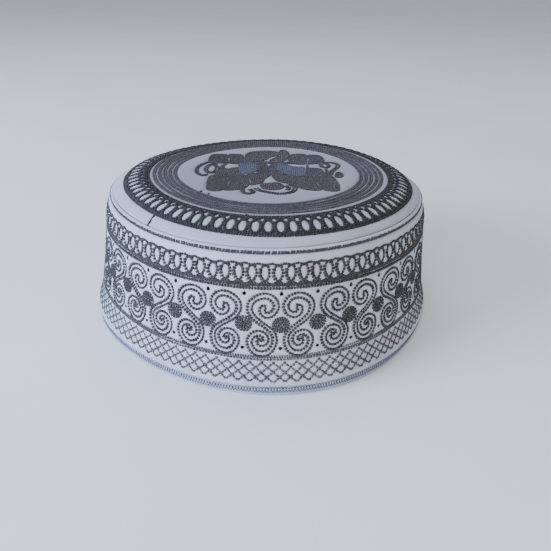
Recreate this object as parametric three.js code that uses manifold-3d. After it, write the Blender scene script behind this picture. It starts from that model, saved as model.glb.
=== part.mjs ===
// A brimless embroidered cap: a side band that leans in towards a flat round crown, an overcast seam
// between the two, and a bound hem that the cap stands on. Two rows of eyelets pierce the side band.
// Millimetres, +Z up, front towards -Y, with the origin under the middle of the cap's outline.

import * as THREE from 'three';
import { mergeGeometries, mergeVertices } from 'three/addons/utils/BufferGeometryUtils.js';
import Module from 'manifold-3d';

// Driving dimensions
const headRound = 572; // tape measure round the head, inside the hem
const clothWall = 2; // side band and crown: layers of cotton held together by the embroidery
const hemWall = 3; // the hem, where the cloth is folded over
const hemHeight = 5;
const hemCorner = 0.5; // bevel along the hem's edges
const seamHeight = 65.6; // middle of the seam between side band and crown
const seamInset = 11.4; // how far the cap narrows from the hem to that seam
const seamRoll = 1.2; // radius of the overcast roll
const crownRise = 8.5; // from the seam up to the flat of the crown
const shoulderSlope = 35; // degrees, of the crown's edge where it leaves the seam
const upperEyeletBore = 1.7;
const lowerEyeletBore = 1.5;
const eyeletsPerRow = 32;
const clearance = 0.3; // between pieces that are sewn together
const crownShift = { right: 1.05, front: 0.7 }; // how far the worn crown sits off the middle of the hem

// How finely the round forms are cut
const roundSteps = 72;
const sideSteps = 8;
const crownSteps = 8;
const rollSides = 8;
const eyeletSides = 8;

// The side band's outer face. rise: share of the height from the hem to the seam. flare: share of the
// way out from the seam's radius to the hem's.
const sideSections = [
  { rise: 0.0, flare: 1.02 },
  { rise: 0.08, flare: 0.875 },
  { rise: 0.194, flare: 0.705 },
  { rise: 0.369, flare: 0.553 },
  { rise: 0.556, flare: 0.418 },
  { rise: 0.75, flare: 0.295 },
  { rise: 0.913, flare: 0.19 },
  { rise: 1.0, flare: 0.023 },
];

// The crown's upper face inside its edge. reach: share of the seam's radius. rise: share of the
// height from the seam to the flat of the crown.
const crownSections = [
  { reach: 0.925, rise: 0.53 },
  { reach: 0.86, rise: 0.83 },
  { reach: 0.77, rise: 0.98 },
  { reach: 0.58, rise: 1.0 },
  { reach: 0.3, rise: 0.99 },
  { reach: 0.0, rise: 0.98 },
];

// The cap isn't quite round, and its plan changes from the hem to the crown. swell: share of the radius
// by which each lobe stands out. facing: where its first lobe points, in degrees from the front towards
// the right.
const planWaves = [
  { lobes: 2, hem: { swell: 0.0126, facing: -16 }, crown: { swell: 0.0113, facing: -29 } },
  { lobes: 3, hem: { swell: 0.0174, facing: 12 }, crown: { swell: 0.0086, facing: 22 } },
  { lobes: 4, hem: { swell: 0.008, facing: 14 }, crown: { swell: 0.0086, facing: -13 } },
];

// Rows of eyelets. lift: share of the height from the hem to the seam.
const eyeletRows = [
  { lift: 0.704, bore: upperEyeletBore },
  { lift: 0.286, bore: lowerEyeletBore },
];

// The embroidery isn't spread evenly round the cap: it starts a little to the right of the front, and
// is drawn together there. Degrees.
const sewingOffset = 0.3;
const sewingPull = 0.86;

const headRadius = headRound / (2 * Math.PI);
const hemRadius = headRadius + hemWall;
const seamRadius = hemRadius - seamInset;
const crownHeight = seamHeight + crownRise;
const sideFoot = hemHeight + clearance;
const sideTop = seamHeight - seamRoll - clearance;
const rollCentre = new THREE.Vector2(seamRadius - clothWall / 2, seamHeight);

const wasm = await Module();
wasm.setup();

// A geometry as one closed skin: points that coincide become one, and triangles that have collapsed
// onto the axis are left out.
function sealed(geometry) {
  geometry.deleteAttribute('normal');
  geometry.deleteAttribute('uv');
  const skin = mergeVertices(geometry);
  const corners = skin.index.array;
  const kept = [];
  for (let i = 0; i < corners.length; i += 3) {
    const [a, b, c] = [corners[i], corners[i + 1], corners[i + 2]];
    if (a !== b && b !== c && c !== a) kept.push(a, b, c);
  }
  skin.setIndex(kept);
  return skin;
}

function toSolid(geometry) {
  const skin = sealed(geometry);
  return new wasm.Manifold(new wasm.Mesh({
    numProp: 3,
    vertProperties: new Float32Array(skin.attributes.position.array),
    triVerts: new Uint32Array(skin.index.array),
  }));
}

function toGeometry(solid) {
  const mesh = solid.getMesh();
  const geometry = new THREE.BufferGeometry();
  geometry.setAttribute('position', new THREE.BufferAttribute(new Float32Array(mesh.vertProperties), 3));
  geometry.setIndex(Array.from(mesh.triVerts));
  return geometry;
}

// Turns an outline of (radius, height) points round the cap's axis, starting at the front.
function turned(outline) {
  return new THREE.LatheGeometry(outline, roundSteps).rotateX(Math.PI / 2);
}

// The same line, set back behind it by the cloth's thickness. The line runs with its face on the
// right-hand side.
function setBack(line, thickness) {
  return line.map((point, i) => {
    const before = line[Math.max(i - 1, 0)];
    const after = line[Math.min(i + 1, line.length - 1)];
    const along = after.clone().sub(before).normalize();
    return new THREE.Vector2(point.x - along.y * thickness, point.y + along.x * thickness);
  });
}

// How far out the plan is pushed at an angle from the front, a share of the way up to the crown.
function swellAt(angle, share) {
  const lobe = (lobes, { swell, facing }) => (
    swell * Math.cos(lobes * (angle - THREE.MathUtils.degToRad(facing)))
  );
  return planWaves.reduce((sum, { lobes, hem, crown }) => (
    sum + (1 - share) * lobe(lobes, hem) + share * lobe(lobes, crown)
  ), 1);
}

// Moves every point of a round form to where the worn cap has it: pushed in and out by the plan's
// waves, and carried over towards the crown's off-centre place as it rises.
function settled(geometry) {
  const place = geometry.attributes.position;
  for (let i = 0; i < place.count; i += 1) {
    const [x, y, z] = [place.getX(i), place.getY(i), place.getZ(i)];
    const share = z / crownHeight;
    const swell = swellAt(Math.atan2(x, -y), share);
    place.setXYZ(i, x * swell + crownShift.right * share, y * swell - crownShift.front * share, z);
  }
  return geometry;
}

function sideLine() {
  const rows = sideSections.map(({ rise, flare }) => new THREE.Vector2(
    seamRadius + seamInset * flare,
    sideFoot + (sideTop - sideFoot) * rise,
  ));
  return new THREE.SplineCurve(rows).getPoints(sideSteps);
}

// The radius of the side band's outer face at a height.
function sideRadiusAt(height) {
  const line = sideLine();
  const above = Math.max(line.findIndex((point) => point.y >= height), 1);
  const [low, high] = [line[above - 1], line[above]];
  return low.x + (high.x - low.x) * (height - low.y) / (high.y - low.y);
}

// Where an even turn of the embroidery lies round the cap, in radians from the front.
function sewnTurn(turn) {
  const pull = THREE.MathUtils.degToRad(sewingPull) * (Math.sin(2 * turn) + Math.sin(3 * turn));
  return THREE.MathUtils.degToRad(sewingOffset) + turn - pull;
}

// One row of round cutters that point straight out of the band.
function eyeletCutters({ lift, bore }) {
  const height = hemHeight + (seamHeight - hemHeight) * lift;
  const middle = sideRadiusAt(height) - clothWall / 2;
  const pitch = 2 * Math.PI / eyeletsPerRow;
  return Array.from({ length: eyeletsPerRow }, (_, i) => (
    new THREE.CylinderGeometry(bore / 2, bore / 2, clothWall * 3, eyeletSides)
      .translate(0, -middle, height)
      .rotateZ(sewnTurn(pitch * (i + 0.5)))
  ));
}

function sideBand() {
  const outer = sideLine();
  const inner = setBack(outer, clothWall);
  inner[0].y = outer[0].y; // the foot is cut level, above the hem
  inner.reverse();
  const band = toSolid(turned([...outer, ...inner, outer[0]]));
  const cutters = toSolid(mergeGeometries(eyeletRows.flatMap(eyeletCutters)));
  return toGeometry(band.subtract(cutters));
}

// The crown's edge starts beside the roll, at the shoulder's slope, a clearance away from it.
function crownLine() {
  const slope = THREE.MathUtils.degToRad(shoulderSlope);
  const inwards = new THREE.Vector2(-Math.cos(slope), Math.sin(slope));
  const outwards = new THREE.Vector2(Math.sin(slope), Math.cos(slope));
  const edge = rollCentre.clone()
    .addScaledVector(inwards, seamRoll + clearance)
    .addScaledVector(outwards, clothWall / 2);
  const rows = crownSections.map(({ reach, rise }) => new THREE.Vector2(
    seamRadius * reach,
    seamHeight + crownRise * rise,
  ));
  return new THREE.SplineCurve([edge, ...rows]).getPoints(crownSteps);
}

function crownTop() {
  const upper = crownLine();
  const lower = setBack(upper, clothWall).reverse();
  lower[0].x = 0;
  return sealed(turned([...lower, ...upper]));
}

function topSeam() {
  const outline = Array.from({ length: rollSides + 1 }, (_, i) => {
    const turn = 2 * Math.PI * (i % rollSides) / rollSides;
    return new THREE.Vector2(Math.cos(turn), Math.sin(turn)).multiplyScalar(seamRoll).add(rollCentre);
  });
  return sealed(turned(outline));
}

// A flat-footed strip with its four edges bevelled.
function rimBinding() {
  const outline = [
    [headRadius + hemCorner, 0],
    [hemRadius - hemCorner, 0],
    [hemRadius, hemCorner],
    [hemRadius, hemHeight - hemCorner],
    [hemRadius - hemCorner, hemHeight],
    [headRadius + hemCorner, hemHeight],
    [headRadius, hemHeight - hemCorner],
    [headRadius, hemCorner],
    [headRadius + hemCorner, 0],
  ].map(([radius, height]) => new THREE.Vector2(radius, height));
  return sealed(turned(outline));
}

const whiteCotton = new THREE.MeshStandardMaterial({ color: '#e6e6ec', roughness: 0.92, metalness: 0 });
const darkThread = new THREE.MeshStandardMaterial({ color: '#4d4e55', roughness: 0.8, metalness: 0 });
const hemCotton = new THREE.MeshStandardMaterial({ color: '#c3cad8', roughness: 0.88, metalness: 0 });

const cap = new THREE.Group();

function addPiece(name, geometry, material) {
  const piece = new THREE.Mesh(settled(geometry), material);
  piece.name = name;
  cap.add(piece);
}

// Stands the cap with the middle of its outline over the origin.
function centred(group) {
  const middle = new THREE.Box3().setFromObject(group, true).getCenter(new THREE.Vector3());
  group.children.forEach((piece) => piece.geometry.translate(-middle.x, -middle.y, 0));
}

addPiece('side_band', sideBand(), whiteCotton);
addPiece('crown_top', crownTop(), whiteCotton);
addPiece('top_seam', topSeam(), darkThread);
addPiece('rim_binding', rimBinding(), hemCotton);
centred(cap);

export default cap;
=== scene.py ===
# %% [markdown]
# # An embroidered cap, stitch by stitch
# The cap is a drum of white cotton, sewn all over with charcoal thread: rings and a leaf motif on the
# crown, then a chain of loops, a row of scrolls with filled discs, and a lattice down the side. Every
# stitch here is a small piece of geometry that lies on the cloth. The maker lays out paths on a flat
# chart, steps along them with a fixed stitch length, and lets the cap's own form carry the chart.

# %% The frame
import math

import bmesh
import bpy
import numpy as np
from mathutils import Matrix, Vector
from mathutils.kdtree import KDTree


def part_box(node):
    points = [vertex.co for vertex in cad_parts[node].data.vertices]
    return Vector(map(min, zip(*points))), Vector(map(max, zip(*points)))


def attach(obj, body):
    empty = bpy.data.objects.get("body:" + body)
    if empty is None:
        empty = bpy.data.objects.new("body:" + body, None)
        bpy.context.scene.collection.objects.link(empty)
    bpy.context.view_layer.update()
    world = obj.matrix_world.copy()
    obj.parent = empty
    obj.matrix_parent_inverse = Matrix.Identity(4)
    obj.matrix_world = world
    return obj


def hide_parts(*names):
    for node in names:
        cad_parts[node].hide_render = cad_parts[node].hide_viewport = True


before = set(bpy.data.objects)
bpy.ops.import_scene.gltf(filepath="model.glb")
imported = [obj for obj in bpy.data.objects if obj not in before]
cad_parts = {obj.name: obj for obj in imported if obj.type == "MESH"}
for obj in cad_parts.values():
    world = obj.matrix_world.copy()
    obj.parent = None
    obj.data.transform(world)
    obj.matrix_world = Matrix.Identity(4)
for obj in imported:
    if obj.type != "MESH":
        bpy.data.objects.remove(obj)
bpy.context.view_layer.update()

MM = 0.001
draw = np.random.default_rng(7)
print("nodes in the frame:", sorted(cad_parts))

# %% [markdown]
# ## Small helpers
# A material is a small graph. The first helpers add a node, wire it and set its sockets in one line, so
# that each finish below reads as the list of things that make it up. The others make objects of meshes
# and read or move their points.

# %% Node helpers
def new_material(name):
    material = bpy.data.materials.new(name)
    material.use_nodes = True
    shader = material.node_tree.nodes["Principled BSDF"]
    return material, material.node_tree, shader


def add_node(tree, kind, inputs=None, **settings):
    """Adds a node, sets its properties, and wires or sets its inputs by name or number."""
    node = tree.nodes.new(kind)
    for key, value in settings.items():
        setattr(node, key, value)
    for key, value in (inputs or {}).items():
        if isinstance(value, bpy.types.NodeSocket):
            tree.links.new(value, node.inputs[key])
        else:
            node.inputs[key].default_value = value
    return node


def set_ramp(node, stops):
    """Gives a colour ramp its two (place, colour) stops."""
    for element, (place, tone) in zip(node.color_ramp.elements, stops):
        element.position = place
        element.color = (*tone, 1)


def bumped(tree, shader, height, strength, distance):
    bump = add_node(tree, "ShaderNodeBump", {"Height": height, "Strength": strength, "Distance": distance})
    tree.links.new(bump.outputs["Normal"], shader.inputs["Normal"])


# %% Mesh helpers
def to_mesh(work, name):
    mesh = bpy.data.meshes.new(name)
    work.to_mesh(mesh)
    work.free()
    return mesh


def add_object(name, mesh):
    piece = bpy.data.objects.new(name, mesh)
    bpy.context.collection.objects.link(piece)
    return piece


def apply_modifiers(piece):
    seen = piece.evaluated_get(bpy.context.evaluated_depsgraph_get())
    mesh = bpy.data.meshes.new_from_object(seen)
    piece.modifiers.clear()
    piece.data = mesh


def read_points(mesh, field="co"):
    points = np.empty(len(mesh.vertices) * 3)
    mesh.vertices.foreach_get(field, points)
    return points.reshape(-1, 3)


def write_points(mesh, points):
    mesh.vertices.foreach_set("co", np.ascontiguousarray(points, float).ravel())
    mesh.update()


# %% [markdown]
# ## Camera, floor and light
# The camera stands where the photographer stood: a third of a metre in front of the cap, looking down by
# about 27 degrees. A slight turn about its own axis matches the tilt of the picture. The floor is one pale
# sheet that runs far behind the cap, so that no horizon shows. A blue window on the left lights the cap,
# with a weak fill in front and a soft light overhead.

# %% Camera
CAMERA_PLACE = Vector((6.98, -310.94, 172.0)) * MM
CAMERA_DIP = math.radians(27.25)
CAMERA_ROLL = math.radians(1.40)
FOCAL_PIXELS = 600
FRAME_PIXELS = 551
SENSOR_WIDTH = 36

camera_data = bpy.data.cameras.new("camera")
camera_data.sensor_width = SENSOR_WIDTH
camera_data.lens = FOCAL_PIXELS * SENSOR_WIDTH / FRAME_PIXELS
camera_data.clip_start = 0.01
camera = bpy.data.objects.new("camera", camera_data)
turn = Matrix.Rotation(math.pi / 2 - CAMERA_DIP, 4, "X") @ Matrix.Rotation(CAMERA_ROLL, 4, "Z")
camera.matrix_world = Matrix.Translation(CAMERA_PLACE) @ turn
bpy.context.collection.objects.link(camera)
bpy.context.scene.camera = camera
print("lens", round(camera_data.lens, 1), "mm")

# %% Floor and light
FLOOR_SIZE = 12.0
floor_material, tree, shader = new_material("pale_floor")
shader.inputs["Roughness"].default_value = 0.85
grain = add_node(tree, "ShaderNodeTexNoise", {"Scale": 90.0, "Detail": 4.0})
tone = add_node(tree, "ShaderNodeValToRGB", {"Fac": grain.outputs["Fac"]})
set_ramp(tone, [(0.3, (0.84, 0.85, 0.86)), (0.7, (0.88, 0.89, 0.90))])
tree.links.new(tone.outputs["Color"], shader.inputs["Base Color"])

work = bmesh.new()
bmesh.ops.create_grid(work, x_segments=1, y_segments=1, size=FLOOR_SIZE / 2)
floor_mesh = to_mesh(work, "floor")
floor_mesh.materials.append(floor_material)
floor = add_object("floor", floor_mesh)

SKY_COLOUR = (0.86, 0.92, 1.0, 1)
SKY_STRENGTH = 0.54
world = bpy.data.worlds.new("studio")
world.use_nodes = True
sky = world.node_tree.nodes["Background"]
sky.inputs["Color"].default_value = SKY_COLOUR
sky.inputs["Strength"].default_value = SKY_STRENGTH
bpy.context.scene.world = world

# Soft boxes: name, place and target in metres, width, power in watts and colour.
SOFT_BOXES = [
    ("window", (-1.15, -0.55, 0.42), (0, 0, 0.04), 0.8, 46.0, (0.50, 0.66, 1.0)),
    ("front_fill", (-0.15, -1.4, 0.45), (0, 0, 0.03), 1.0, 14.0, (1.0, 0.96, 0.94)),
    ("overhead", (-0.1, 0.4, 1.4), (0, 0, 0.05), 1.2, 7.0, (0.93, 0.96, 1.0)),
]
for name, place, target, width, power, colour in SOFT_BOXES:
    light = bpy.data.lights.new(name, "AREA")
    light.shape = "SQUARE"
    light.size = width
    light.energy = power
    light.color = colour
    lamp = bpy.data.objects.new(name, light)
    lamp.location = place
    lamp.rotation_euler = (Vector(target) - Vector(place)).to_track_quat("-Z", "Y").to_euler()
    bpy.context.collection.objects.link(lamp)

# %% [markdown]
# ## The cap's form
# The cap is turned from two lines, one for the side band and one for the crown, and then settled: a worn
# cap is never quite round, and its crown stands a touch off the middle of its hem. All of it is worked
# out in millimetres, in the same way as the solids of the frame, so that the cloth lies where they are.

# %% Sizes
HEAD_ROUND = 572  # tape measure round the head, inside the hem
HEM_WALL = 3.0
HEM_RADIUS = HEAD_ROUND / (2 * math.pi) + HEM_WALL
HEM_HEIGHT = 5.0
CLOTH_WALL = 2.0
SEAM_HEIGHT = 65.6
SEAM_INSET = 11.4
SEAM_RADIUS = HEM_RADIUS - SEAM_INSET
SEAM_ROLL = 1.2
CROWN_RISE = 8.5
CROWN_HEIGHT = SEAM_HEIGHT + CROWN_RISE
SHOULDER_SLOPE = math.radians(35)
CLEARANCE = 0.3
SIDE_FOOT = HEM_HEIGHT + CLEARANCE
SIDE_TOP = SEAM_HEIGHT - SEAM_ROLL - CLEARANCE
ROLL_CENTRE = (SEAM_RADIUS - CLOTH_WALL / 2, SEAM_HEIGHT)

# (share of the height from hem to seam, share of the flare from seam to hem)
SIDE_SECTIONS = [
    (0.0, 1.02), (0.08, 0.875), (0.194, 0.705), (0.369, 0.553),
    (0.556, 0.418), (0.75, 0.295), (0.913, 0.19), (1.0, 0.023),
]
# (share of the seam's radius, share of the crown's rise)
CROWN_SECTIONS = [(0.925, 0.53), (0.86, 0.83), (0.77, 0.98), (0.58, 1.0), (0.3, 0.99), (0.0, 0.98)]
# (lobes round the cap, then at the hem and at the crown: share of the radius by which each lobe
# stands out, and degrees from the front to the first lobe)
PLAN_WAVES = [
    (2, (0.0126, -16), (0.0113, -29)),
    (3, (0.0174, 12), (0.0086, 22)),
    (4, (0.0080, 14), (0.0086, -13)),
]
CROWN_SHIFT = np.array((1.05, -0.7, 0.0))
LINE_STEPS = 240


# %% Lines of the form
def smooth_line(rows, steps):
    """A smooth line through rows of (radius, height), as steps + 1 points."""
    rows = np.asarray(rows, float)
    place = np.linspace(0, len(rows) - 1, steps + 1)
    span = np.minimum(place.astype(int), len(rows) - 2)
    t = (place - span)[:, None]
    a, b, c, d = (rows[np.clip(span + k, 0, len(rows) - 1)] for k in (-1, 0, 1, 2))
    return b + 0.5 * t * (c - a + t * (2 * a - 5 * b + 4 * c - d + t * (3 * (b - c) + d - a)))


def set_back(line, thickness):
    """The line moved to the left of its own direction, behind the cloth's face."""
    along = np.gradient(line, axis=0)
    along /= np.linalg.norm(along, axis=1)[:, None]
    return line + thickness * np.stack([-along[:, 1], along[:, 0]], 1)


side_rows = [
    (SEAM_RADIUS + SEAM_INSET * flare, SIDE_FOOT + (SIDE_TOP - SIDE_FOOT) * rise)
    for rise, flare in SIDE_SECTIONS
]
side_line = smooth_line(side_rows, LINE_STEPS)

inwards = np.array((-math.cos(SHOULDER_SLOPE), math.sin(SHOULDER_SLOPE)))
outwards = np.array((math.sin(SHOULDER_SLOPE), math.cos(SHOULDER_SLOPE)))
crown_edge = ROLL_CENTRE + inwards * (SEAM_ROLL + CLEARANCE) + outwards * CLOTH_WALL / 2
crown_rows = [crown_edge] + [
    (SEAM_RADIUS * reach, SEAM_HEIGHT + CROWN_RISE * rise) for reach, rise in CROWN_SECTIONS
]
crown_line = smooth_line(crown_rows, LINE_STEPS)


def plan_swell(angle, share):
    """How far out the cap's plan is pushed at an angle, share of the way up from hem to crown."""
    swell = 1.0
    for lobes, *ends in PLAN_WAVES:
        for weight, (depth, facing) in zip((1 - share, share), ends):
            swell = swell + weight * depth * np.cos(lobes * (angle - math.radians(facing)))
    return swell


def settle_about(points, middle):
    """Carries round millimetre points to where the worn cap has them."""
    share = points[..., 2] / CROWN_HEIGHT
    swell = plan_swell(np.arctan2(points[..., 0], -points[..., 1]), share)
    moved = points * np.stack([swell, swell, np.ones_like(swell)], -1)
    return moved + CROWN_SHIFT * share[..., None] - middle


def around(radius, angle, height):
    return np.stack([radius * np.sin(angle), -radius * np.cos(angle), height + 0 * angle], -1)


# The frame's cap is centred on its own outline, so the settled form is measured against it once.
turns = np.radians(np.arange(0, 360, 5))[:, None]
loose = settle_about(around(side_line[:, 0], turns, side_line[:, 1]), 0).reshape(-1, 3)
node_low, node_high = (np.array(corner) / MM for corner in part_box("side_band"))
middle = (loose.min(0) + loose.max(0) - node_low - node_high) / 2 * (1, 1, 0)
print("the cap's outline is centred by", middle.round(2), "mm")


def settle(points):
    return settle_about(points, middle) * MM


# %% [markdown]
# ## Charts
# A chart is a flat drawing that the cap wraps round itself. On the side it has degrees from the front
# and millimetres of height. On the crown it has plain millimetres, seen from above. Each chart gives the
# place of a drawn point, lifted off the cloth along the cloth's own normal. The side's drawing is even,
# but the worn cloth has drawn it together at the front, and the chart does the same.

# %% Charts
SEWING_OFFSET = 0.3
SEWING_PULL = 0.86


def sewn_turn(degrees):
    """Where an even turn of the side's embroidery lies round the cap."""
    turn = np.radians(degrees)
    return SEWING_OFFSET + degrees - SEWING_PULL * (np.sin(2 * turn) + np.sin(3 * turn))


def chart_side(drawn, lift=0.0):
    angle, height = np.radians(sewn_turn(drawn[..., 0])), drawn[..., 1]
    radius = np.interp(height, side_line[:, 1], side_line[:, 0])
    lean = np.interp(height, side_line[:, 1], -np.gradient(side_line[:, 0], side_line[:, 1]))
    stretch = np.sqrt(1 + lean ** 2)
    return settle(around(radius + lift / stretch, angle, height + lift * lean / stretch))


def chart_crown(drawn, lift=0.0):
    x, y = drawn[..., 0], drawn[..., 1]
    out = np.hypot(x, y)
    line = crown_line[::-1]
    height = np.interp(out, line[:, 0], line[:, 1])
    fall = np.interp(out, line[:, 0], -np.gradient(line[:, 1], line[:, 0]))
    stretch = np.sqrt(1 + fall ** 2)
    push = 1 + lift * fall / stretch / np.maximum(out, 0.01)
    return settle(np.stack([x * push, y * push, height + lift / stretch], -1))


def side_degrees(width, height):
    """A width in millimetres at a height on the side, as degrees round the cap."""
    return np.degrees(width / np.interp(height, side_line[:, 1], side_line[:, 0]))


# %% [markdown]
# ## One stitch, sewn many thousand times
# A stitch is a short strand that comes up out of the cloth, runs over it, and goes down again. One is
# modelled from a cylinder of few faces. Geometry Nodes then sets a copy of it on every point of a
# cloud, where each point carries its own turn, size and tone, and realizes the copies into one mesh. So
# every stitch is real geometry.

# %% The stitch
STITCH_SIDES = 5
STITCH_BODY = 0.68
TIP_DROP = 0.25


def model_stitch():
    """A strand one unit long and wide along X, with both tips drawn down into the cloth."""
    work = bmesh.new()
    bmesh.ops.create_cone(
        work, cap_ends=True, segments=STITCH_SIDES, radius1=0.5, radius2=0.5, depth=STITCH_BODY,
        matrix=Matrix.Rotation(math.pi / 2, 4, "Y"),
    )
    caps = [face for face in work.faces if len(face.verts) == STITCH_SIDES]
    tips = bmesh.ops.poke(work, faces=caps)["verts"]
    for tip in tips:
        tip.co.x /= STITCH_BODY
        tip.co.z = -TIP_DROP
    layer = work.loops.layers.uv.new("strand")
    for face in work.faces:
        face.smooth = True
        for loop in face.loops:
            loop[layer].uv = (loop.vert.co.x, math.atan2(loop.vert.co.y, loop.vert.co.z) / math.tau)
    return add_object("stitch_master", to_mesh(work, "stitch"))


stitch_master = model_stitch()
stitch_faces = sum(len(face.vertices) - 2 for face in stitch_master.data.polygons)
print("triangles in one stitch:", stitch_faces)


# %% The sewing nodes
def sewing_nodes():
    tree = bpy.data.node_groups.new("sew_on_points", "GeometryNodeTree")
    tree.interface.new_socket("Points", in_out="INPUT", socket_type="NodeSocketGeometry")
    tree.interface.new_socket("Stitches", in_out="OUTPUT", socket_type="NodeSocketGeometry")
    points = tree.nodes.new("NodeGroupInput")
    result = tree.nodes.new("NodeGroupOutput")
    master = add_node(tree, "GeometryNodeObjectInfo", {"Object": stitch_master})
    turn = add_node(tree, "GeometryNodeInputNamedAttribute", {"Name": "turn"}, data_type="QUATERNION")
    size = add_node(tree, "GeometryNodeInputNamedAttribute", {"Name": "size"}, data_type="FLOAT_VECTOR")
    copies = add_node(tree, "GeometryNodeInstanceOnPoints", {
        "Points": points.outputs[0],
        "Instance": master.outputs["Geometry"],
        "Rotation": turn.outputs["Attribute"],
        "Scale": size.outputs["Attribute"],
    })
    real = add_node(tree, "GeometryNodeRealizeInstances", {"Geometry": copies.outputs["Instances"]})
    tree.links.new(real.outputs["Geometry"], result.inputs[0])
    return tree


sewing = sewing_nodes()


# %% Paths into stitches
def on_path(path, chart, places):
    """The drawn points at shares of a path's length on the cap, and that length in millimetres."""
    steps = np.linalg.norm(np.diff(chart(path) / MM, axis=0), axis=1)
    length = np.concatenate([[0], np.cumsum(steps)])
    return np.stack([np.interp(places * length[-1], length, path[:, k]) for k in (0, 1)], -1), length[-1]


def stitch_along(path, chart, pitch, fill):
    """Cuts a path into stitches: pairs of drawn ends, one pair for each pitch."""
    path = np.asarray(path, float)
    _, total = on_path(path, chart, np.zeros(1))
    count = max(int(round(total / pitch)), 1)
    middles = (np.arange(count) + 0.5) / count
    reach = fill / count / 2
    heads, _ = on_path(path, chart, middles - reach)
    tails, _ = on_path(path, chart, middles + reach)
    return np.stack([heads, tails], 1)


class Sewing:
    """Stitches of one thread on one chart, gathered before they become a piece."""

    def __init__(self, chart):
        self.chart = chart
        self.ends, self.widths, self.lifts = [], [], []

    def add(self, ends, width, lift=0.0):
        self.ends.append(ends)
        self.widths.append(np.full(len(ends), width))
        self.lifts.append(np.full(len(ends), lift))

    def add_row(self, path, pitch, fill, width):
        self.add(stitch_along(path, self.chart, pitch, fill), width)

    def places(self):
        return self.chart(np.concatenate(self.ends).mean(1))


THREAD_HEIGHT = 0.62
THREAD_SPREAD = (0.88, 1.12)
WOBBLE = 0.05  # millimetres


def lay_stitches(sewing_work, wobble):
    """The place, turn and size of every gathered stitch on the cap, in metres."""
    chart = sewing_work.chart
    ends = np.concatenate(sewing_work.ends)
    width = np.concatenate(sewing_work.widths)
    lift = np.concatenate(sewing_work.lifts)
    count = len(ends)
    head, tail = chart(ends[:, 0]), chart(ends[:, 1])
    middle_drawn = ends.mean(1)
    base = chart(middle_drawn)
    up = chart(middle_drawn, np.ones(count)) - base
    up /= np.linalg.norm(up, axis=1)[:, None]
    run = tail - head + draw.normal(0, wobble * MM, (count, 3))
    run -= up * (run * up).sum(1)[:, None]
    length = np.linalg.norm(run, axis=1)
    along = run / length[:, None]
    across = np.cross(up, along)
    place = base + up * (lift[:, None] * MM) + across * draw.normal(0, wobble * MM, (count, 1))
    turns = [
        Matrix((a, b, c)).transposed().to_quaternion()
        for a, b, c in zip(along.tolist(), across.tolist(), up.tolist())
    ]
    wide = width * MM * draw.uniform(*THREAD_SPREAD, count)
    return place, np.array(turns), np.stack([length, wide, wide * THREAD_HEIGHT], 1)


def sew(name, sewing_work, material, wobble=WOBBLE):
    """Turns gathered stitches into one mesh piece."""
    place, turns, size = lay_stitches(sewing_work, wobble)
    count = len(place)
    cloud = bpy.data.meshes.new(name + "_points")
    cloud.vertices.add(count)
    cloud.vertices.foreach_set("co", place.ravel())
    cloud.attributes.new("turn", "QUATERNION", "POINT").data.foreach_set("value", turns.ravel())
    cloud.attributes.new("size", "FLOAT_VECTOR", "POINT").data.foreach_set("vector", size.ravel())
    cloud.attributes.new("tone", "FLOAT", "POINT").data.foreach_set("value", draw.uniform(0, 1, count))
    piece = add_object(name, cloud)
    sewer = piece.modifiers.new("sew", "NODES")
    sewer.node_group = sewing
    apply_modifiers(piece)
    bpy.data.meshes.remove(cloud)
    piece.data.name = name
    piece.data.materials.clear()
    piece.data.materials.append(material)
    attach(piece, "root")
    print(name, count, "stitches,", count * stitch_faces, "triangles")


# %% [markdown]
# ## Thread and cloth
# The thread is a soft charcoal cotton. It never has one colour: each stitch catches its own tone, and the
# twist of its plies runs round it as a fine bump. The cloth is a plain weave in a pale, cool tone, with
# the weave as bump and a slow mottling as colour.

# %% Thread
def thread_material(name, dark, light):
    """Matt cotton thread. A stitch's own tone picks its colour between dark and light."""
    material, tree, shader = new_material(name)
    tone = add_node(tree, "ShaderNodeAttribute", attribute_name="tone")
    colour = add_node(tree, "ShaderNodeValToRGB", {"Fac": tone.outputs["Fac"]})
    set_ramp(colour, [(0.0, dark), (1.0, light)])
    tree.links.new(colour.outputs["Color"], shader.inputs["Base Color"])
    shader.inputs["Roughness"].default_value = 0.62
    shader.inputs["Specular IOR Level"].default_value = 0.3
    shader.inputs["Sheen Weight"].default_value = 0.08
    shader.inputs["Sheen Roughness"].default_value = 0.4
    strand = add_node(tree, "ShaderNodeUVMap", uv_map="strand")
    twist = add_node(tree, "ShaderNodeTexWave", {"Vector": strand.outputs["UV"], "Scale": 2.0})
    twist.bands_direction = "DIAGONAL"
    bumped(tree, shader, twist.outputs["Fac"], 0.5, 0.0001)
    return material


charcoal = thread_material("charcoal_thread", (0.020, 0.016, 0.0155), (0.048, 0.041, 0.041))
black = thread_material("black_thread", (0.010, 0.008, 0.008), (0.027, 0.024, 0.025))
smoke = thread_material("smoke_thread", (0.026, 0.022, 0.023), (0.060, 0.053, 0.058))
ash = thread_material("ash_thread", (0.036, 0.031, 0.034), (0.084, 0.074, 0.083))
pale_ash = thread_material("pale_ash_thread", (0.044, 0.040, 0.043), (0.100, 0.092, 0.101))
slate = thread_material("slate_thread", (0.046, 0.050, 0.088), (0.088, 0.094, 0.148))
hem_thread = thread_material("hem_thread", (0.045, 0.05, 0.085), (0.095, 0.105, 0.16))


# %% Cloth
WEAVE_PITCH = 0.42
WAVE_PERIOD = 0.314  # of a wave texture at scale 1


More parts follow.
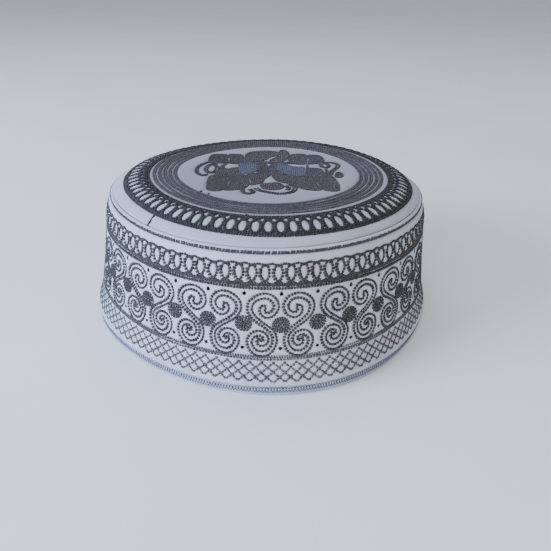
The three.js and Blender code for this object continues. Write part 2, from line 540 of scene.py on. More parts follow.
def cloth_material(name, low, high, field=None):
    """A plain weave in millimetres of the piece's own cloth map. A crown's field may be painted darker as
    shade:
    field gives the share of the colour it keeps, and the radii between which it changes."""
    material, tree, shader = new_material(name)
    drawn = add_node(tree, "ShaderNodeUVMap", uv_map="cloth")
    place = add_node(tree, "ShaderNodeTexCoord")
    cloud = add_node(tree, "ShaderNodeTexNoise", {
        "Vector": place.outputs["Object"], "Scale": 60.0, "Detail": 5.0,
    })
    tone = add_node(tree, "ShaderNodeValToRGB", {"Fac": cloud.outputs["Fac"]})
    set_ramp(tone, [(0.3, low), (0.7, high)])
    colour = tone.outputs["Color"]
    # Painted shade: inside the near radius the crown's flat top keeps only the kept share of its colour,
    # rising to all of it at the far radius.
    if field:
        kept, near, far = field
        out = add_node(tree, "ShaderNodeVectorMath", {0: drawn.outputs["UV"]}, operation="LENGTH")
        share = add_node(tree, "ShaderNodeMapRange", {
            "Value": out.outputs["Value"], "From Min": near, "From Max": far, "To Min": kept, "To Max": 1.0,
        })
        painted_shade = add_node(
            tree, "ShaderNodeVectorMath", {0: colour, 1: share.outputs["Result"]}, operation="MULTIPLY",
        )
        colour = painted_shade.outputs["Vector"]
    tree.links.new(colour, shader.inputs["Base Color"])
    shader.inputs["Roughness"].default_value = 0.9
    shader.inputs["Sheen Weight"].default_value = 0.25
    shader.inputs["Sheen Roughness"].default_value = 0.5
    warp, weft = (
        add_node(tree, "ShaderNodeTexWave", {
            "Vector": drawn.outputs["UV"], "Scale": WAVE_PERIOD / WEAVE_PITCH, "Distortion": 0.6,
        }, bands_direction=way)
        for way in ("X", "Y")
    )
    woven = add_node(
        tree, "ShaderNodeMath", {0: warp.outputs["Fac"], 1: weft.outputs["Fac"]}, operation="MAXIMUM",
    )
    bumped(tree, shader, woven.outputs["Value"], 0.35, 0.00012)
    return material


white_cotton = cloth_material("white_cotton", (0.38, 0.38, 0.43), (0.45, 0.45, 0.50))
# The crown's cloth is a darker tone than the side's, and its field inside 62 mm is darkened to 0.57 of it as
# painted shade of the crown's top.
crown_cotton = cloth_material("crown_cotton", (0.32, 0.32, 0.385), (0.38, 0.38, 0.44), (0.57, 62.0, 72.0))
hem_cotton = cloth_material("hem_cotton", (0.24, 0.26, 0.335), (0.32, 0.34, 0.42))

# %% [markdown]
# ## The scrolls
# Thirty-two scrolls stand round the side, every second one mirrored. Each is one S-shaped path with a
# spiral at both ends, drawn through a few knots, and a double row of stitches follows
# it. Where a path runs up or down, the row on its left, as seen from outside, is sewn heavier than the
# row on its right. That holds for the mirrored scrolls too, as if one hand had sewn them all.

# %% Scroll path
COLUMNS = 32
COLUMN_STEP = 360 / COLUMNS
columns = (np.arange(COLUMNS) - COLUMNS // 2) * COLUMN_STEP

# Millimetres across and height, from the upper spiral's heart out and over the bridge to the lower's.
SCROLL_KNOTS = [
    (1.8, 41.9), (0.9, 42.1), (0.1, 41.5), (-0.35, 40.3), (0.0, 39.0), (1.0, 38.1), (2.2, 37.8), (3.8, 38.2),
    (5.3, 39.3), (6.3, 41.2), (6.2, 43.2), (5.0, 45.2), (3.0, 46.5), (0.8, 46.9), (-1.6, 46.4), (-3.8, 45.2),
    (-5.4, 43.4), (-6.0, 41.2), (-5.5, 38.8), (-4.1, 36.9), (-2.2, 35.3), (-0.1, 33.9), (2.1, 32.4),
    (4.15, 30.8), (5.6, 28.9), (6.1, 26.9), (5.8, 24.4), (4.6, 22.0), (2.7, 20.4), (0.1, 19.8), (-2.6, 20.4),
    (-4.6, 22.2), (-5.6, 24.6), (-5.3, 27.0), (-3.7, 28.9), (-1.3, 29.6), (0.9, 28.8), (2.1, 27.0),
    (1.8, 25.4), (0.4, 24.6), (-1.0, 24.9), (-1.6, 26.1), (-0.9, 27.3),
]
# Half the gap of the double row, and how it narrows at the bridge and the tips, in shares of the path.
HALF_GAP = 1.1
BRIDGE_PINCH, BRIDGE_SHARE, BRIDGE_REACH = 0.28, 0.52, 0.09
TIP_GAP, TIP_REACH = 0.3, 0.05


def beside(path, offset):
    """The path moved to its left by an offset in millimetres that may change along it."""
    along = np.gradient(path, axis=0)
    along /= np.maximum(np.linalg.norm(along, axis=1), 1e-6)[:, None]
    return path + np.stack([-along[:, 1], along[:, 0]], 1) * np.reshape(offset, (-1, 1))


def to_side(path, column, flip=1):
    """A path in millimetres about a column becomes degrees and height."""
    return np.stack([column + side_degrees(path[:, 0] * flip, path[:, 1]), path[:, 1]], 1)


def ellipse(centre, across, tall, start=0, sweep=360, steps=48):
    angle = np.radians(start + np.linspace(0, sweep, steps))
    return np.stack([centre[0] + across * np.cos(angle), centre[1] + tall * np.sin(angle)], 1)


def climb(ends):
    """How much of each stitch's length on the side goes up: 1 straight up, -1 straight down."""
    drawn = ends[:, 1] - ends[:, 0]
    across = drawn[:, 0] / side_degrees(1.0, ends[:, 0, 1])
    return drawn[:, 1] / np.hypot(across, drawn[:, 1])


SCROLL_PITCH = 1.45
LEVEL_THREAD, LEFT_THREAD, RIGHT_THREAD = 1.35, 1.7, 1.25
BEAD_GAP = 0.18  # share of a heavy stitch's length that is left open
SCROLL_DRIFT = 0.12
scrolls = Sewing(chart_side)
path = smooth_line(SCROLL_KNOTS, len(SCROLL_KNOTS) * 12)
share = np.linspace(0, 1, len(path))
half_gap = HALF_GAP - BRIDGE_PINCH * np.exp(-((share - BRIDGE_SHARE) / BRIDGE_REACH) ** 2)
half_gap *= np.clip(np.minimum(share, 1 - share) / TIP_REACH, TIP_GAP, 1)
for index, column in enumerate(columns):
    flip = 1 if index % 2 == 0 else -1
    drift = draw.normal(0, SCROLL_DRIFT, 2)
    for side in (1, -1):
        row = to_side(beside(path, side * half_gap) + drift, column, flip)
        ends = stitch_along(row, chart_side, SCROLL_PITCH, 1.0)
        leftness = flip * side * climb(ends)
        width = LEVEL_THREAD + np.where(
            leftness > 0, (LEFT_THREAD - LEVEL_THREAD) * leftness, (LEVEL_THREAD - RIGHT_THREAD) * leftness
        )
        beads = 1 - BEAD_GAP * np.maximum(leftness, 0)
        centres = ends.mean(1, keepdims=True)
        scrolls.add(centres + (ends - centres) * beads[:, None, None], width)

# %% [markdown]
# ## Discs and eyelets
# Between two scrolls sits a disc, filled with small stitches that go round and round. Above and below it
# a small eyelet is pierced through the cloth. Black thread goes round its edge, and two deeper rounds of it
# line its wall as painted shade of the hole's dark inside.

# %% Discs
DISC_HEIGHT = 33.6
DISC_WIDE, DISC_TALL = 4.25, 3.85
DISC_ROUNDS = (0.91, 0.71, 0.51, 0.31, 0.12)
DISC_DRIFT = 0.2
DISC_PITCH = (1.1, 1.7)
DISC_THREAD = 0.88
gaps = columns + COLUMN_STEP / 2
discs = Sewing(chart_side)
for gap in gaps:
    centre = np.array((0, DISC_HEIGHT)) + draw.normal(0, DISC_DRIFT, 2)
    for share in DISC_ROUNDS:
        ring = ellipse(centre, DISC_WIDE * share, DISC_TALL * share, draw.uniform(0, 360))
        discs.add_row(to_side(ring, gap), draw.uniform(*DISC_PITCH), 0.92, DISC_THREAD)

# %% Eyelet edges
# (share of the height from hem to seam, bore)
EYELETS = [(0.704, 1.7), (0.286, 1.5)]
# (millimetres outside the bore, lift off the cloth's face) for each round of stitches. The first round is
# the whipped edge; the two sunk into the bore line its wall with black thread as painted shade of the dark
# hole.
EYELET_ROUNDS = [(0.15, -0.05), (0.05, -0.7), (0.05, -1.4)]
ROUND_STITCHES = 10
EYELET_THREAD = 0.8
eyelet_edges = Sewing(chart_side)
eyelet_places = []
for lift_share, bore in EYELETS:
    height = HEM_HEIGHT + (SEAM_HEIGHT - HEM_HEIGHT) * lift_share
    turn = np.linspace(0, math.tau, ROUND_STITCHES + 1)
    for gap in gaps:
        for grow, lift in EYELET_ROUNDS:
            ring = (bore / 2 + grow) * np.stack([np.cos(turn), np.sin(turn)], 1) + (0, height)
            drawn = to_side(ring, gap)
            eyelet_edges.add(np.stack([drawn[:-1], drawn[1:]], 1), EYELET_THREAD, lift)
        eyelet_places.append((sewn_turn(gap), height, bore))

# %% [markdown]
# ## Chain of loops
# Under the crown runs a chain of tall loops. The left of each loop is sewn with heavy stitches and its
# right with lighter ones. A scalloped line caps the chain, and three rows of stitches close it below.

# %% Loop band
LOOPS = 90
LOOP_STEP = 360 / LOOPS
LOOP_START = 0.25
LOOP_DRIFT = 0.1
loops = Sewing(chart_side)

# The parts of one loop: knots in millimetres, stitch pitch, share of the pitch that is thread, width.
LOOP_PARTS = [
    ([(-1.75, 59.3), (-2.25, 58.0), (-2.15, 56.3), (-1.55, 54.9), (-0.9, 54.0)], 1.6, 0.92, 2.05),
    ([(-0.8, 60.2), (-1.7, 59.3)], 1.3, 1.0, 1.2),
    ([(1.0, 60.3), (1.75, 59.2), (2.1, 57.6), (2.05, 56.2), (1.6, 54.9), (0.9, 53.9)], 1.5, 0.96, 1.5),
    ([(-1.3, 59.9), (0.0, 60.2), (1.3, 59.9)], 1.3, 1.0, 1.05),
    ([(0.1, 54.1), (-0.7, 53.2), (-1.9, 52.4)], 1.3, 1.0, 1.25),
    ([(0.3, 54.1), (1.0, 53.2), (2.1, 52.4)], 1.3, 1.0, 1.25),
    ([(0.2, 53.2), (0.2, 52.2)], 1.0, 1.0, 1.1),
    ([(-3.05, 61.0), (-1.5, 60.85), (0.0, 60.35), (1.5, 60.85), (3.05, 61.0)], 1.3, 1.0, 1.2),
]
for step in range(LOOPS):
    column = LOOP_START + step * LOOP_STEP
    drift = draw.normal(0, LOOP_DRIFT, 2)
    for knots, pitch, fill, width in LOOP_PARTS:
        row = smooth_line(knots, 16) + drift
        loops.add_row(to_side(row, column), pitch, fill, width)


# %% Straight and slanted rows round the cap
def hand_waver(angle, lobes, waver):
    """How far a hand strays from a ring, slowly, at angles in radians."""
    phase = draw.uniform(0, math.tau, len(lobes))
    return waver * sum(np.sin(angle * count + shift) for count, shift in zip(lobes, phase)) / 2


def ring_row(height, waver=0.12, steps=1440):
    """A line all the way round the side at one height."""
    angle = np.linspace(-180, 180, steps + 1)
    return np.stack([angle, height + hand_waver(np.radians(angle), (3, 7, 11), waver)], 1)


def slanted(ends, rise):
    """Tilts stitches of a level row: the tail goes up by rise and the head down, by turns."""
    tilt = rise / 2 * np.where(np.arange(len(ends)) % 2 == 0, 1, -1)
    tilted = ends.copy()
    tilted[:, 0, 1] -= tilt
    tilted[:, 1, 1] += tilt
    return tilted


# Height, stitch pitch, share of the pitch that is thread, slant and width.
CLOSING_ROWS = [(52.2, 1.05, 1.0, 0.9, 1.0), (51.5, 1.05, 1.0, 0.8, 1.0), (50.15, 1.3, 0.97, 0.0, 1.45)]
for height, pitch, fill, slant, width in CLOSING_ROWS:
    loops.add(slanted(stitch_along(ring_row(height), chart_side, pitch, fill), slant), width)

# %% [markdown]
# ## Foot of the side
# A row of dots and a fringe of upright stitches draw a line under the scrolls. Below them a lattice of
# slanted lines crosses itself, and then plain cloth runs down to the hem.

# %% Foot rows and lattice
foot = Sewing(chart_side)
FOOT_WAVER = 0.2
# Height, stitch pitch, share of the pitch that is thread, and width.
FOOT_ROWS = [(17.2, 1.5, 0.85, 1.05), (18.0, 1.1, 0.9, 0.6)]
for height, pitch, fill, width in FOOT_ROWS:
    foot.add_row(ring_row(height, FOOT_WAVER), pitch, fill, width)

FRINGE_HEIGHT, FRINGE_PITCH, FRINGE_THREAD = 18.7, 1.15, 0.72
FRINGE_REACH = (0.45, 0.6)
fringe = stitch_along(ring_row(FRINGE_HEIGHT, FOOT_WAVER), chart_side, FRINGE_PITCH, 0.1)
for end, way in ((0, -1), (1, 1)):
    fringe[:, end, 1] += way * draw.uniform(*FRINGE_REACH, len(fringe))
foot.add(fringe, FRINGE_THREAD)

LATTICE_LINES = 105
LATTICE_STEP = 360 / LATTICE_LINES
LATTICE_START = 0.2
LATTICE_LOW, LATTICE_HIGH = 7.1, 16.1
LATTICE_REACH = 2.12  # steps round the cap that a line covers as it rises
LATTICE_DRIFT, LATTICE_PITCH, LATTICE_THREAD = 0.08, 1.7, 1.02
for step in range(LATTICE_LINES):
    column = LATTICE_START + step * LATTICE_STEP
    for way in (1, -1):
        line = np.array([(column, LATTICE_LOW), (column + LATTICE_REACH * LATTICE_STEP * way, LATTICE_HIGH)])
        line = line + draw.normal(0, LATTICE_DRIFT, (2, 2))
        line = np.linspace(line[0], line[1], 9)
        foot.add_row(line, LATTICE_PITCH, 1.0, LATTICE_THREAD)

# %% [markdown]
# ## The crown's rings
# Five braided rings lie inside a heavy wreath of loops. A braid is two rows of slanted stitches that lean
# towards each other. The wreath is sewn in the darkest thread.

# %% Crown rings
def crown_ring(radius, waver=0.1, steps=720):
    angle = np.linspace(-math.pi, math.pi, steps + 1)
    out = radius + hand_waver(angle, (3, 5, 9), waver)
    return np.stack([out * np.sin(angle), -out * np.cos(angle)], 1)


def leaned(ends, lean):
    """Turns the stitches of a ring so that their heads lie further out by lean millimetres."""
    out = ends / np.linalg.norm(ends, axis=2)[..., None]
    shift = np.array((lean / 2, -lean / 2))[None, :, None]
    return ends + out * shift


BRAID_RADII = (49.6, 52.3, 55.0, 57.7, 60.4)
BRAID_CENTRE = (0.3, 0.5)
BRAID_HALF, BRAID_LEAN = 0.5, 0.6
BRAID_PITCH, BRAID_THREAD = 1.25, 1.04
rings = Sewing(chart_crown)
for radius in BRAID_RADII:
    for side in (1, -1):
        ring = crown_ring(radius + BRAID_HALF * side) + BRAID_CENTRE
        row = stitch_along(ring, chart_crown, BRAID_PITCH, 0.9)
        rings.add(leaned(row, -BRAID_LEAN * side), BRAID_THREAD)

# %% Crown wreath
WREATH_LOOPS = 83
WREATH_START = 0.6
WREATH_RADIUS = 71.3
WREATH_CENTRE = (0.7, 0.0)
WREATH_DRIFT = 0.1
wreath = Sewing(chart_crown)


def to_crown(path, angle):
    """A path in millimetres across and outwards, set at an angle round the crown."""
    turned = np.radians(angle) + path[:, 0] / WREATH_RADIUS
    return np.stack([path[:, 1] * np.sin(turned), -path[:, 1] * np.cos(turned)], 1) + WREATH_CENTRE


# The parts of one loop, in millimetres across and outwards, and the width of their stitches.
wreath_rows = [
    (ellipse((0, WREATH_RADIUS), 2.35, 4.15, 75, 210), 1.95),
    (ellipse((0, WREATH_RADIUS), 2.35, 4.15, -75, 150), 1.8),
    ([(0.3, 67.4), (1.4, 65.9), (2.8, 64.4)], 1.6),
    ([(-0.3, 67.4), (-1.4, 65.9), (-2.8, 64.4)], 1.6),
    ([(0.0, 66.1), (1.3, 64.3)], 1.2),
    ([(0.0, 66.1), (-1.3, 64.3)], 1.2),
]
for step in range(WREATH_LOOPS):
    angle = WREATH_START + step * 360 / WREATH_LOOPS
    drift = draw.normal(0, WREATH_DRIFT, 2)
    for row, width in wreath_rows:
        wreath.add_row(to_crown(row + drift, angle), 1.3, 0.92, width)

# The rows that close the wreath outside and inside: radius and lean.
CLOSING_RINGS = [(74.8, 0.6), (75.6, -0.6), (76.3, 0.6), (63.6, 0.5)]
CLOSING_PITCH, CLOSING_THREAD = 1.2, 1.05
for radius, lean in CLOSING_RINGS:
    row = stitch_along(crown_ring(radius) + WREATH_CENTRE, chart_crown, CLOSING_PITCH, 0.9)
    wreath.add(leaned(row, lean), CLOSING_THREAD)

# %% [markdown]
# ## The leaf motif
# Leaves and curls fill the middle of the crown. Each leaf is an outline drawn through a few knots and
# filled with rows of stitches, close together, that follow one direction.

# %% Filled shapes
def closed_line(knots, steps_each=8):
    knots = np.asarray(knots, float)
    looped = np.concatenate([knots[-1:], knots, knots[:2]])
    line = smooth_line(looped, (len(looped) - 1) * steps_each)
    return line[steps_each:-steps_each]


SHORTEST_ROW = 1.2


def hatch(outline, slope, spacing):
    """Straight rows across a closed outline, as pairs of ends. slope is in degrees."""
    c, s = math.cos(math.radians(slope)), math.sin(math.radians(slope))
    turned = outline @ np.array(((c, -s), (s, c)))
    rows = []
    a, b = turned, np.roll(turned, -1, axis=0)
    for level in np.arange(turned[:, 1].min() + spacing / 2, turned[:, 1].max(), spacing):
        crossing = (a[:, 1] <= level) != (b[:, 1] <= level)
        share = (level - a[crossing, 1]) / (b[crossing, 1] - a[crossing, 1])
        places = np.sort(a[crossing, 0] + share * (b[crossing, 0] - a[crossing, 0]))
        for start, end in zip(places[::2], places[1::2]):
            if end - start > SHORTEST_ROW:
                rows.append(np.array(((start, level), (end, level))) @ np.array(((c, s), (-s, c))))
    return rows


motif = Sewing(chart_crown)
leaves = Sewing(chart_crown)
blue_fill = Sewing(chart_crown)
# Leaves: knots, slope of the rows in degrees, and the thread that fills them.
MOTIF_LEAVES = [
    ([(-34, 29), (-29, 31.8), (-25, 30.5), (-24, 22), (-23, 14), (-28, 13.5), (-33.5, 15)], 80, leaves),
    ([(-24, 31.5), (-19, 32.6), (-16, 31), (-15.3, 24), (-16.5, 15), (-21.5, 13.5), (-22.5, 22)],
     84, leaves),
    ([(12, 32.5), (18, 34.8), (21, 33), (21, 25), (20, 15.5), (14, 15.5), (10.8, 21)], 94, leaves),
    ([(22.3, 33), (28.7, 32.3), (30.8, 25), (30, 19), (25.5, 16.5), (22, 16), (22.5, 24)], 98, leaves),
    ([(-14, 31), (-12, 37), (-6, 39.5), (-1, 40.2), (4.6, 38), (4.4, 31), (0.4, 27.5), (-3, 21),
      (-13, 20)], 92, leaves),
    ([(5, 30), (5.5, 38), (7, 42.5), (9.5, 41), (11, 34), (9, 22), (4, 17), (0.5, 21)], 90, leaves),
    ([(-15.5, 20), (-5, 19.5), (3, 17.5), (13, 18.5), (15, 15.5), (2, 15), (-4, 15), (-15, 15)], 88, leaves),
    ([(-16.5, 14), (-8, 15), (-7, 8), (-7, 0), (-12, -4), (-15, -5), (-15.5, 3)], 92, blue_fill),
    ([(3.5, 14), (9, 13.5), (14, 10), (19.5, 9), (19.5, -4), (14, -5.5), (10, -3), (5, 3)], 88, blue_fill),
    ([(-6, 0), (-4.5, 6), (-1.5, 13), (0, 8), (2, 15), (4.3, 15), (3, 8), (7, 0), (9, -4), (4, -2),
      (1, 1), (-3, -1)], 90, motif),
    ([(-23, 13), (-24.5, 8), (-22, 3), (-18, 6.5), (-16, 4), (-16, -9), (-28, -10), (-27, -3), (-26, 8)],
     85, leaves),
    ([(21.5, 15), (22, 9), (27, 8.5), (29, 6), (30, 1), (33, -4), (28, -8), (20.5, -7),
      (20.5, 4)], 92, leaves),
    ([(-29.5, -8.5), (-30.8, -17), (-30.5, -25), (-28.8, -32), (-22.5, -31.7), (-20.5, -20),
      (-20.5, -10)], 82, leaves),
    ([(-19, -8), (-19, -20), (-21, -31), (-13, -29), (-9.5, -23), (-10, -14), (-13, -6.5)], 85, leaves),
    ([(-11.5, -6), (-8.5, -14), (-8, -22.5), (-3, -18), (-1.8, -12), (0.6, -7), (0.8, -1),
      (-5, -2)], 88, leaves),
    ([(33.5, -5), (36, -14), (36.5, -22), (35.5, -29), (28.5, -28), (26.5, -18),
      (25.5, -8)], 97, leaves),
    ([(24, -7.5), (25, -18), (27, -28), (19, -27.7), (14.5, -21), (14, -12), (15, -6.5)], 94, leaves),
    ([(13.2, -6), (12.8, -13), (13, -20), (6, -16), (3.6, -12), (2.4, -7), (2.4, -1),
      (8, -3.5)], 92, leaves),
    ([(-2.8, -19.5), (-3, -24), (-1, -28), (3.5, -28.5), (7.5, -26.5), (7.5, -21), (4.5, -17.5),
      (1, -19)], 90, leaves),
    ([(36, -3), (37, 1), (38.5, 2.5), (40, -1), (39.8, -5), (38, -7.5), (36, -6.5)], 90, motif),
    ([(-6.6, 14.6), (-2.4, 14.4), (-4.6, 8), (-6.4, 1.5)], 90, leaves),
]
# Curls: knots, and how far apart their rows lie.
MOTIF_CURLS = [
    ([(-33.5, 15), (-36, 11), (-38, 5.5), (-38.2, 0), (-37.3, -5), (-35, -8.8), (-33, -9),
      (-32.5, -6.5)], 0.6),
    ([(-28.2, 10.5), (-31, 10.8), (-33.2, 6.5), (-33.2, 0), (-30.8, -4.6), (-28.2, -1.5), (-27.6, 5),
      (-29.5, 9.5)], 0.75),
    ([(30, 19), (34.5, 19.5), (38.3, 16.5), (38.4, 12), (36.4, 7), (34.4, 2.5), (33, -4)], 0.75),
    ([(30.5, 18), (33, 15.5), (33.3, 11.5), (31.5, 9.5), (29.3, 12), (29, 16)], 0.6),
    ([(31.5, 7), (31.8, 2), (31.5, -3)], 0.45),
    ([(-12, -24), (-12, -30), (-11, -34), (-8.8, -35.5), (-6.6, -33.5), (-7, -30.5), (-8.7, -29)], 0.65),
    ([(-5.5, -26.5), (-3.5, -30), (1.5, -33), (7, -34.5), (11.5, -32.5), (13.8, -28), (13.8, -23.5),
      (11, -20.5)], 0.8),
    ([(9, -22.5), (10.8, -25.5), (10, -29)], 0.5),
]
# Stray ends of thread: the two ends of each.
STRAY_ENDS = [
    ((-49.5, -55.3), (-51.7, -59.2)), ((-51.2, -58.3), (-53.4, -62.3)), ((-32.5, -33.2), (-31.6, -35)),
    ((-28.2, -36.4), (-27.4, -38.2)), ((-8.3, -61.6), (-7.7, -62.9)),
]
FILL_SPACING = 1.04
FILL_PITCH = (1.6, 2.2)
FILL_THREAD, EDGE_THREAD, CURL_THREAD, STRAY_THREAD = 0.95, 0.85, 1.2, 1.25
for knots, slope, fill_work in MOTIF_LEAVES:
    edge = closed_line(knots)
    for row in hatch(edge, slope, FILL_SPACING):
        fill_work.add_row(row, draw.uniform(*FILL_PITCH), 0.95, FILL_THREAD)
    fill_work.add_row(np.concatenate([edge, edge[:1]]), 1.3, 0.95, EDGE_THREAD)
for knots, apart in MOTIF_CURLS:
    for side in (1, -1):
        row = beside(smooth_line(knots, 60), apart * side)
        motif.add_row(row, 1.3, 0.95, CURL_THREAD)
motif.add(np.array(STRAY_ENDS, float), STRAY_THREAD)

# %% [markdown]
# ## Cloth with the stitches drawn in
# The shell of the side and the shell of the crown are spun from their lines. Where a stitch pulls the
# cloth down it leaves a dimple, and between stitches the cloth swells. Each point of the shell's face
# asks a tree of all stitches for the nearest one and moves along its normal by that distance's curve.

# %% Spinning a shell
SHELL_STEPS = 600


def spin_shell(outline, closed=True):
    """Spins a line of (radius, height) millimetres once round, into one closed skin."""
    work = bmesh.new()
    verts = [work.verts.new((0.0, -radius, height)) for radius, height in outline]
    edges = [work.edges.new(pair) for pair in zip(verts, verts[1:])]
    if closed:
        edges.append(work.edges.new((verts[-1], verts[0])))
    bmesh.ops.spin(
        work, geom=verts + edges, cent=(0, 0, 0), axis=(0, 0, 1), angle=math.tau, steps=SHELL_STEPS,
        use_merge=True,
    )
    bmesh.ops.remove_doubles(work, verts=work.verts, dist=1e-4)
    bmesh.ops.recalc_face_normals(work, faces=work.faces)
    for face in work.faces:
        face.smooth = True
    return work


def map_cloth(work, flat):
    """Writes the cloth map, in millimetres: round and up on the side, across and along on the crown."""
    layer = work.loops.layers.uv.new("cloth")
    for face in work.faces:
        centre = face.calc_center_median()
        facing = math.atan2(centre.x, -centre.y)
        for loop in face.loops:
            co = loop.vert.co
            if flat:
                loop[layer].uv = (co.x, co.y)
            else:
                angle = math.atan2(co.x, -co.y)
                angle += math.tau * round((facing - angle) / math.tau)
                loop[layer].uv = (angle * HEM_RADIUS, co.z)


def stitched_tree(works):
    places = np.concatenate([work.places() for work in works])
    tree = KDTree(len(places))
    for index, place in enumerate(places):
        tree.insert(place, index)
    tree.balance()
    return tree


DIMPLE, DIMPLE_REACH = 0.4, 0.75
PUFF, PUFF_REACH = 0.22, 1.6


def quilt(mesh, outer, tree):
    """Moves the outer points of a settled mesh: down by the stitches, up between them."""
    points, normals = read_points(mesh), read_points(mesh, "normal")
    for index in np.flatnonzero(outer):
        _, _, distance = tree.find(points[index])
        distance /= MM
        rise = PUFF * (1 - math.exp(-(distance / PUFF_REACH) ** 2))
        fall = DIMPLE * math.exp(-(distance / DIMPLE_REACH) ** 2)
        points[index] += normals[index] * (rise - fall) * MM
    write_points(mesh, points)


def cloth_shell(name, outline, material, is_outer=None, works=(), flat=False):
    """Spins a cloth and settles it. Stitch works on its outer face draw that face in."""
    work = spin_shell(outline, closed=not flat)
    map_cloth(work, flat)
    mesh = to_mesh(work, name)
    round_points = read_points(mesh)
    write_points(mesh, settle(round_points))
    if works:
        quilt(mesh, is_outer(round_points), stitched_tree(works))
    mesh.materials.append(material)
    return add_object(name, mesh)


# %% Side cloth
def even_line(line, spacing):
    steps = np.linalg.norm(np.diff(line, axis=0), axis=1)
    length = np.concatenate([[0], np.cumsum(steps)])
    places = np.linspace(0, length[-1], int(round(length[-1] / spacing)) + 1)
    return np.stack([np.interp(places, length, line[:, k]) for k in (0, 1)], 1)


def on_side_face(points):
    face_radius = np.interp(points[:, 2], side_line[:, 1], side_line[:, 0])
    return np.hypot(points[:, 0], points[:, 1]) > face_radius - FACE_DEPTH


FACE_DEPTH = 0.2  # still counted as the face
FACE_GRID, BACK_GRID = 1.0, 5.0
SEAM_LIP = (SEAM_RADIUS - 0.2, SIDE_TOP + 0.5)  # turned up against the roll
side_face = np.concatenate([even_line(side_line, FACE_GRID), [SEAM_LIP]])
side_back = even_line(set_back(side_line, CLOTH_WALL), BACK_GRID)[::-1]
side_back[-1, 1] = SIDE_FOOT
side_outline = np.concatenate([side_face, side_back])
side_works = [scrolls, discs, loops, foot]
side_cloth = cloth_shell("side_cloth", side_outline, white_cotton, on_side_face, side_works)


# %% Piercing the eyelets
def eyelet_cutters():
    work = bmesh.new()
    for angle, height, bore in eyelet_places:
        radius = np.interp(height, side_line[:, 1], side_line[:, 0])
        place = Matrix.Rotation(math.radians(angle), 4, "Z") @ Matrix.Translation((0, -radius, height))
        bmesh.ops.create_cone(
            work, cap_ends=True, segments=16, radius1=bore / 2, radius2=bore / 2, depth=3 * CLOTH_WALL,
            matrix=place @ Matrix.Rotation(math.pi / 2, 4, "X"),
        )
    bmesh.ops.recalc_face_normals(work, faces=work.faces)
    mesh = to_mesh(work, "eyelet_cutters")
    write_points(mesh, settle(read_points(mesh)))
    return add_object("eyelet_cutters", mesh)


cutters = eyelet_cutters()
pierce = side_cloth.modifiers.new("pierce", "BOOLEAN")
pierce.operation = "DIFFERENCE"
pierce.object = cutters
pierce.solver = "MANIFOLD"
apply_modifiers(side_cloth)
bpy.data.objects.remove(cutters)
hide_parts("side_band")
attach(side_cloth, "root")
print("side cloth:", len(side_cloth.data.polygons), "faces")


# %% Crown cloth
def on_crown_face(points):
    out = np.hypot(points[:, 0], points[:, 1])
    return points[:, 2] > np.interp(out, crown_line[::-1, 0], crown_line[::-1, 1]) - FACE_DEPTH


crown_face = even_line(crown_line, FACE_GRID)
crown_back = even_line(set_back(crown_line, CLOTH_WALL), BACK_GRID)
crown_face[-1, 0] = crown_back[-1, 0] = 0.0
crown_outline = np.concatenate([crown_face[::-1], crown_back])
crown_works = [rings, wreath, motif, leaves, blue_fill]
crown_cloth = cloth_shell("crown_cloth", crown_outline, crown_cotton, on_crown_face, crown_works, flat=True)
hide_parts("crown_top")
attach(crown_cloth, "root")
print("crown cloth:", len(crown_cloth.data.polygons), "faces")

# %% [markdown]
# ## Seam and hem
# A roll of cotton covers the joint between crown and side, and dark thread whips over it from just under
# the roll to a little above its outermost line. The hem is a folded strip in a greyer cotton. Its lower
# edge is rolled, and rows of small stitches hold its layers.

# %% Seam
ROLL_SIDES = 14


def chart_roll(drawn, lift=0.0):
    """Degrees from the front, and degrees round the roll from its outermost line upwards."""
    angle, turn = np.radians(drawn[..., 0]), np.radians(drawn[..., 1])
    reach = SEAM_ROLL + lift
    return settle(around(
        ROLL_CENTRE[0] + reach * np.cos(turn), angle, ROLL_CENTRE[1] + reach * np.sin(turn)
    ))


def shell_piece(name, outline, material, node):
    """A closed profile spun into a piece that stands for a node of the frame."""
    piece = cloth_shell(name, outline, material)
    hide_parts(node)
    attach(piece, "root")


turn = np.linspace(0, math.tau, ROLL_SIDES, endpoint=False)
roll_outline = ROLL_CENTRE + SEAM_ROLL * np.stack([np.cos(turn), np.sin(turn)], 1)
shell_piece("seam_roll", roll_outline, white_cotton, "top_seam")

WHIPS = 400
WHIP_JITTER = 0.16  # share of the step from one whip to the next
WHIP_LEAN = (0.22, 0.06)  # degrees round the cap: middle and spread
WHIP_LOW, WHIP_HIGH = (-62, -50), (24, 38)  # degrees round the roll
WHIP_WIDTH = (1.15, 1.35)
overcast = Sewing(chart_roll)
angle = (np.arange(WHIPS) + draw.uniform(-WHIP_JITTER, WHIP_JITTER, WHIPS)) * 360 / WHIPS
lean = draw.normal(*WHIP_LEAN, WHIPS)
low, high = draw.uniform(*WHIP_LOW, WHIPS), draw.uniform(*WHIP_HIGH, WHIPS)


def along_whip(share):
    """Points on the whips, a share of the way up from their lower ends."""
    return np.stack([angle + lean * (2 * share - 1), low + (high - low) * share], 1)


# A whip is two stitches that overlap in its middle, so that it bends with the roll.
lower = np.stack([along_whip(0.0), along_whip(0.6)], 1)
upper = np.stack([along_whip(0.4), along_whip(1.0)], 1)
overcast.add(np.concatenate([lower, upper]), np.tile(draw.uniform(*WHIP_WIDTH, WHIPS), 2))

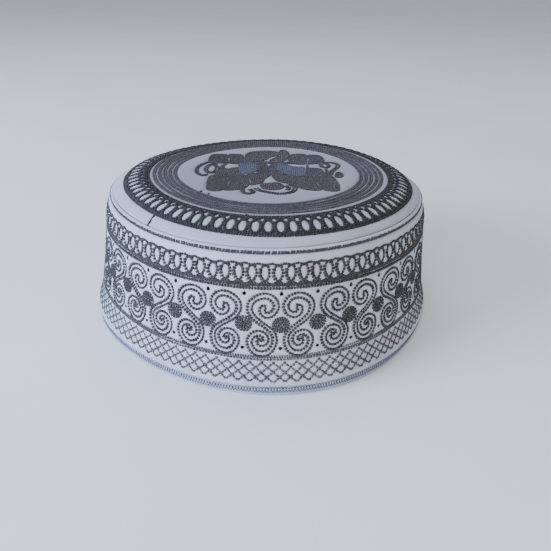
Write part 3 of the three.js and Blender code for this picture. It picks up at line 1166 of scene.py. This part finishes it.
# %% Hem
# (radius, height), from the inner edge down under the hem, up its face and back over its top
HEM_ROWS = [
    (91.5, 4.6), (91.2, 3.0), (91.5, 0.9), (92.2, 0.1), (93.1, 0.0), (93.85, 0.4), (94.1, 1.0),
    (93.9, 1.6), (93.75, 2.0), (93.95, 2.8), (94.0, 3.6), (93.85, 4.4), (93.5, 5.0), (92.6, 5.1),
]
HEM_STEPS = 52
FACE_RADIUS, FOOT_POINTS = 93.0, 12  # the face lies outside this radius, and after the foot's points
hem_line = smooth_line(HEM_ROWS, HEM_STEPS)
hem_face = hem_line[(hem_line[:, 0] > FACE_RADIUS) & (np.arange(len(hem_line)) > FOOT_POINTS)]


def chart_hem(drawn, lift=0.0):
    angle = np.radians(drawn[..., 0])
    radius = np.interp(drawn[..., 1], hem_face[:, 1], hem_face[:, 0])
    return settle(around(radius + lift, angle, drawn[..., 1]))


shell_piece("hem_cloth", hem_line, hem_cotton, "rim_binding")
HEM_SEWING = (4.6, 3.75, 2.9, 1.9)
HEM_WAVER, HEM_PITCH, HEM_SLANT, HEM_THREAD = 0.08, 1.35, 0.2, 0.8
hem_work = Sewing(chart_hem)
for height in HEM_SEWING:
    row = stitch_along(ring_row(height, HEM_WAVER), chart_hem, HEM_PITCH, 0.66)
    hem_work.add(slanted(row, HEM_SLANT), HEM_THREAD)

# %% [markdown]
# ## Sewing it all on
# Each kind of stitching becomes one piece, so that a new owner can recolour the scrolls or leave out the
# wreath. The master stitch then goes away.

# %% Pieces
sew("scroll_stitches", scrolls, charcoal)
sew("disc_stitches", discs, charcoal)
sew("loop_band_stitches", loops, charcoal)
sew("foot_stitches", foot, pale_ash)
sew("ring_stitches", rings, ash)
sew("wreath_stitches", wreath, black)
sew("motif_stitches", motif, charcoal)
sew("leaf_filling", leaves, smoke)
sew("blue_filling", blue_fill, slate)
sew("seam_stitches", overcast, smoke)
sew("hem_stitches", hem_work, hem_thread)
sew("eyelet_edges", eyelet_edges, black, wobble=0.0)
bpy.data.objects.remove(stitch_master)
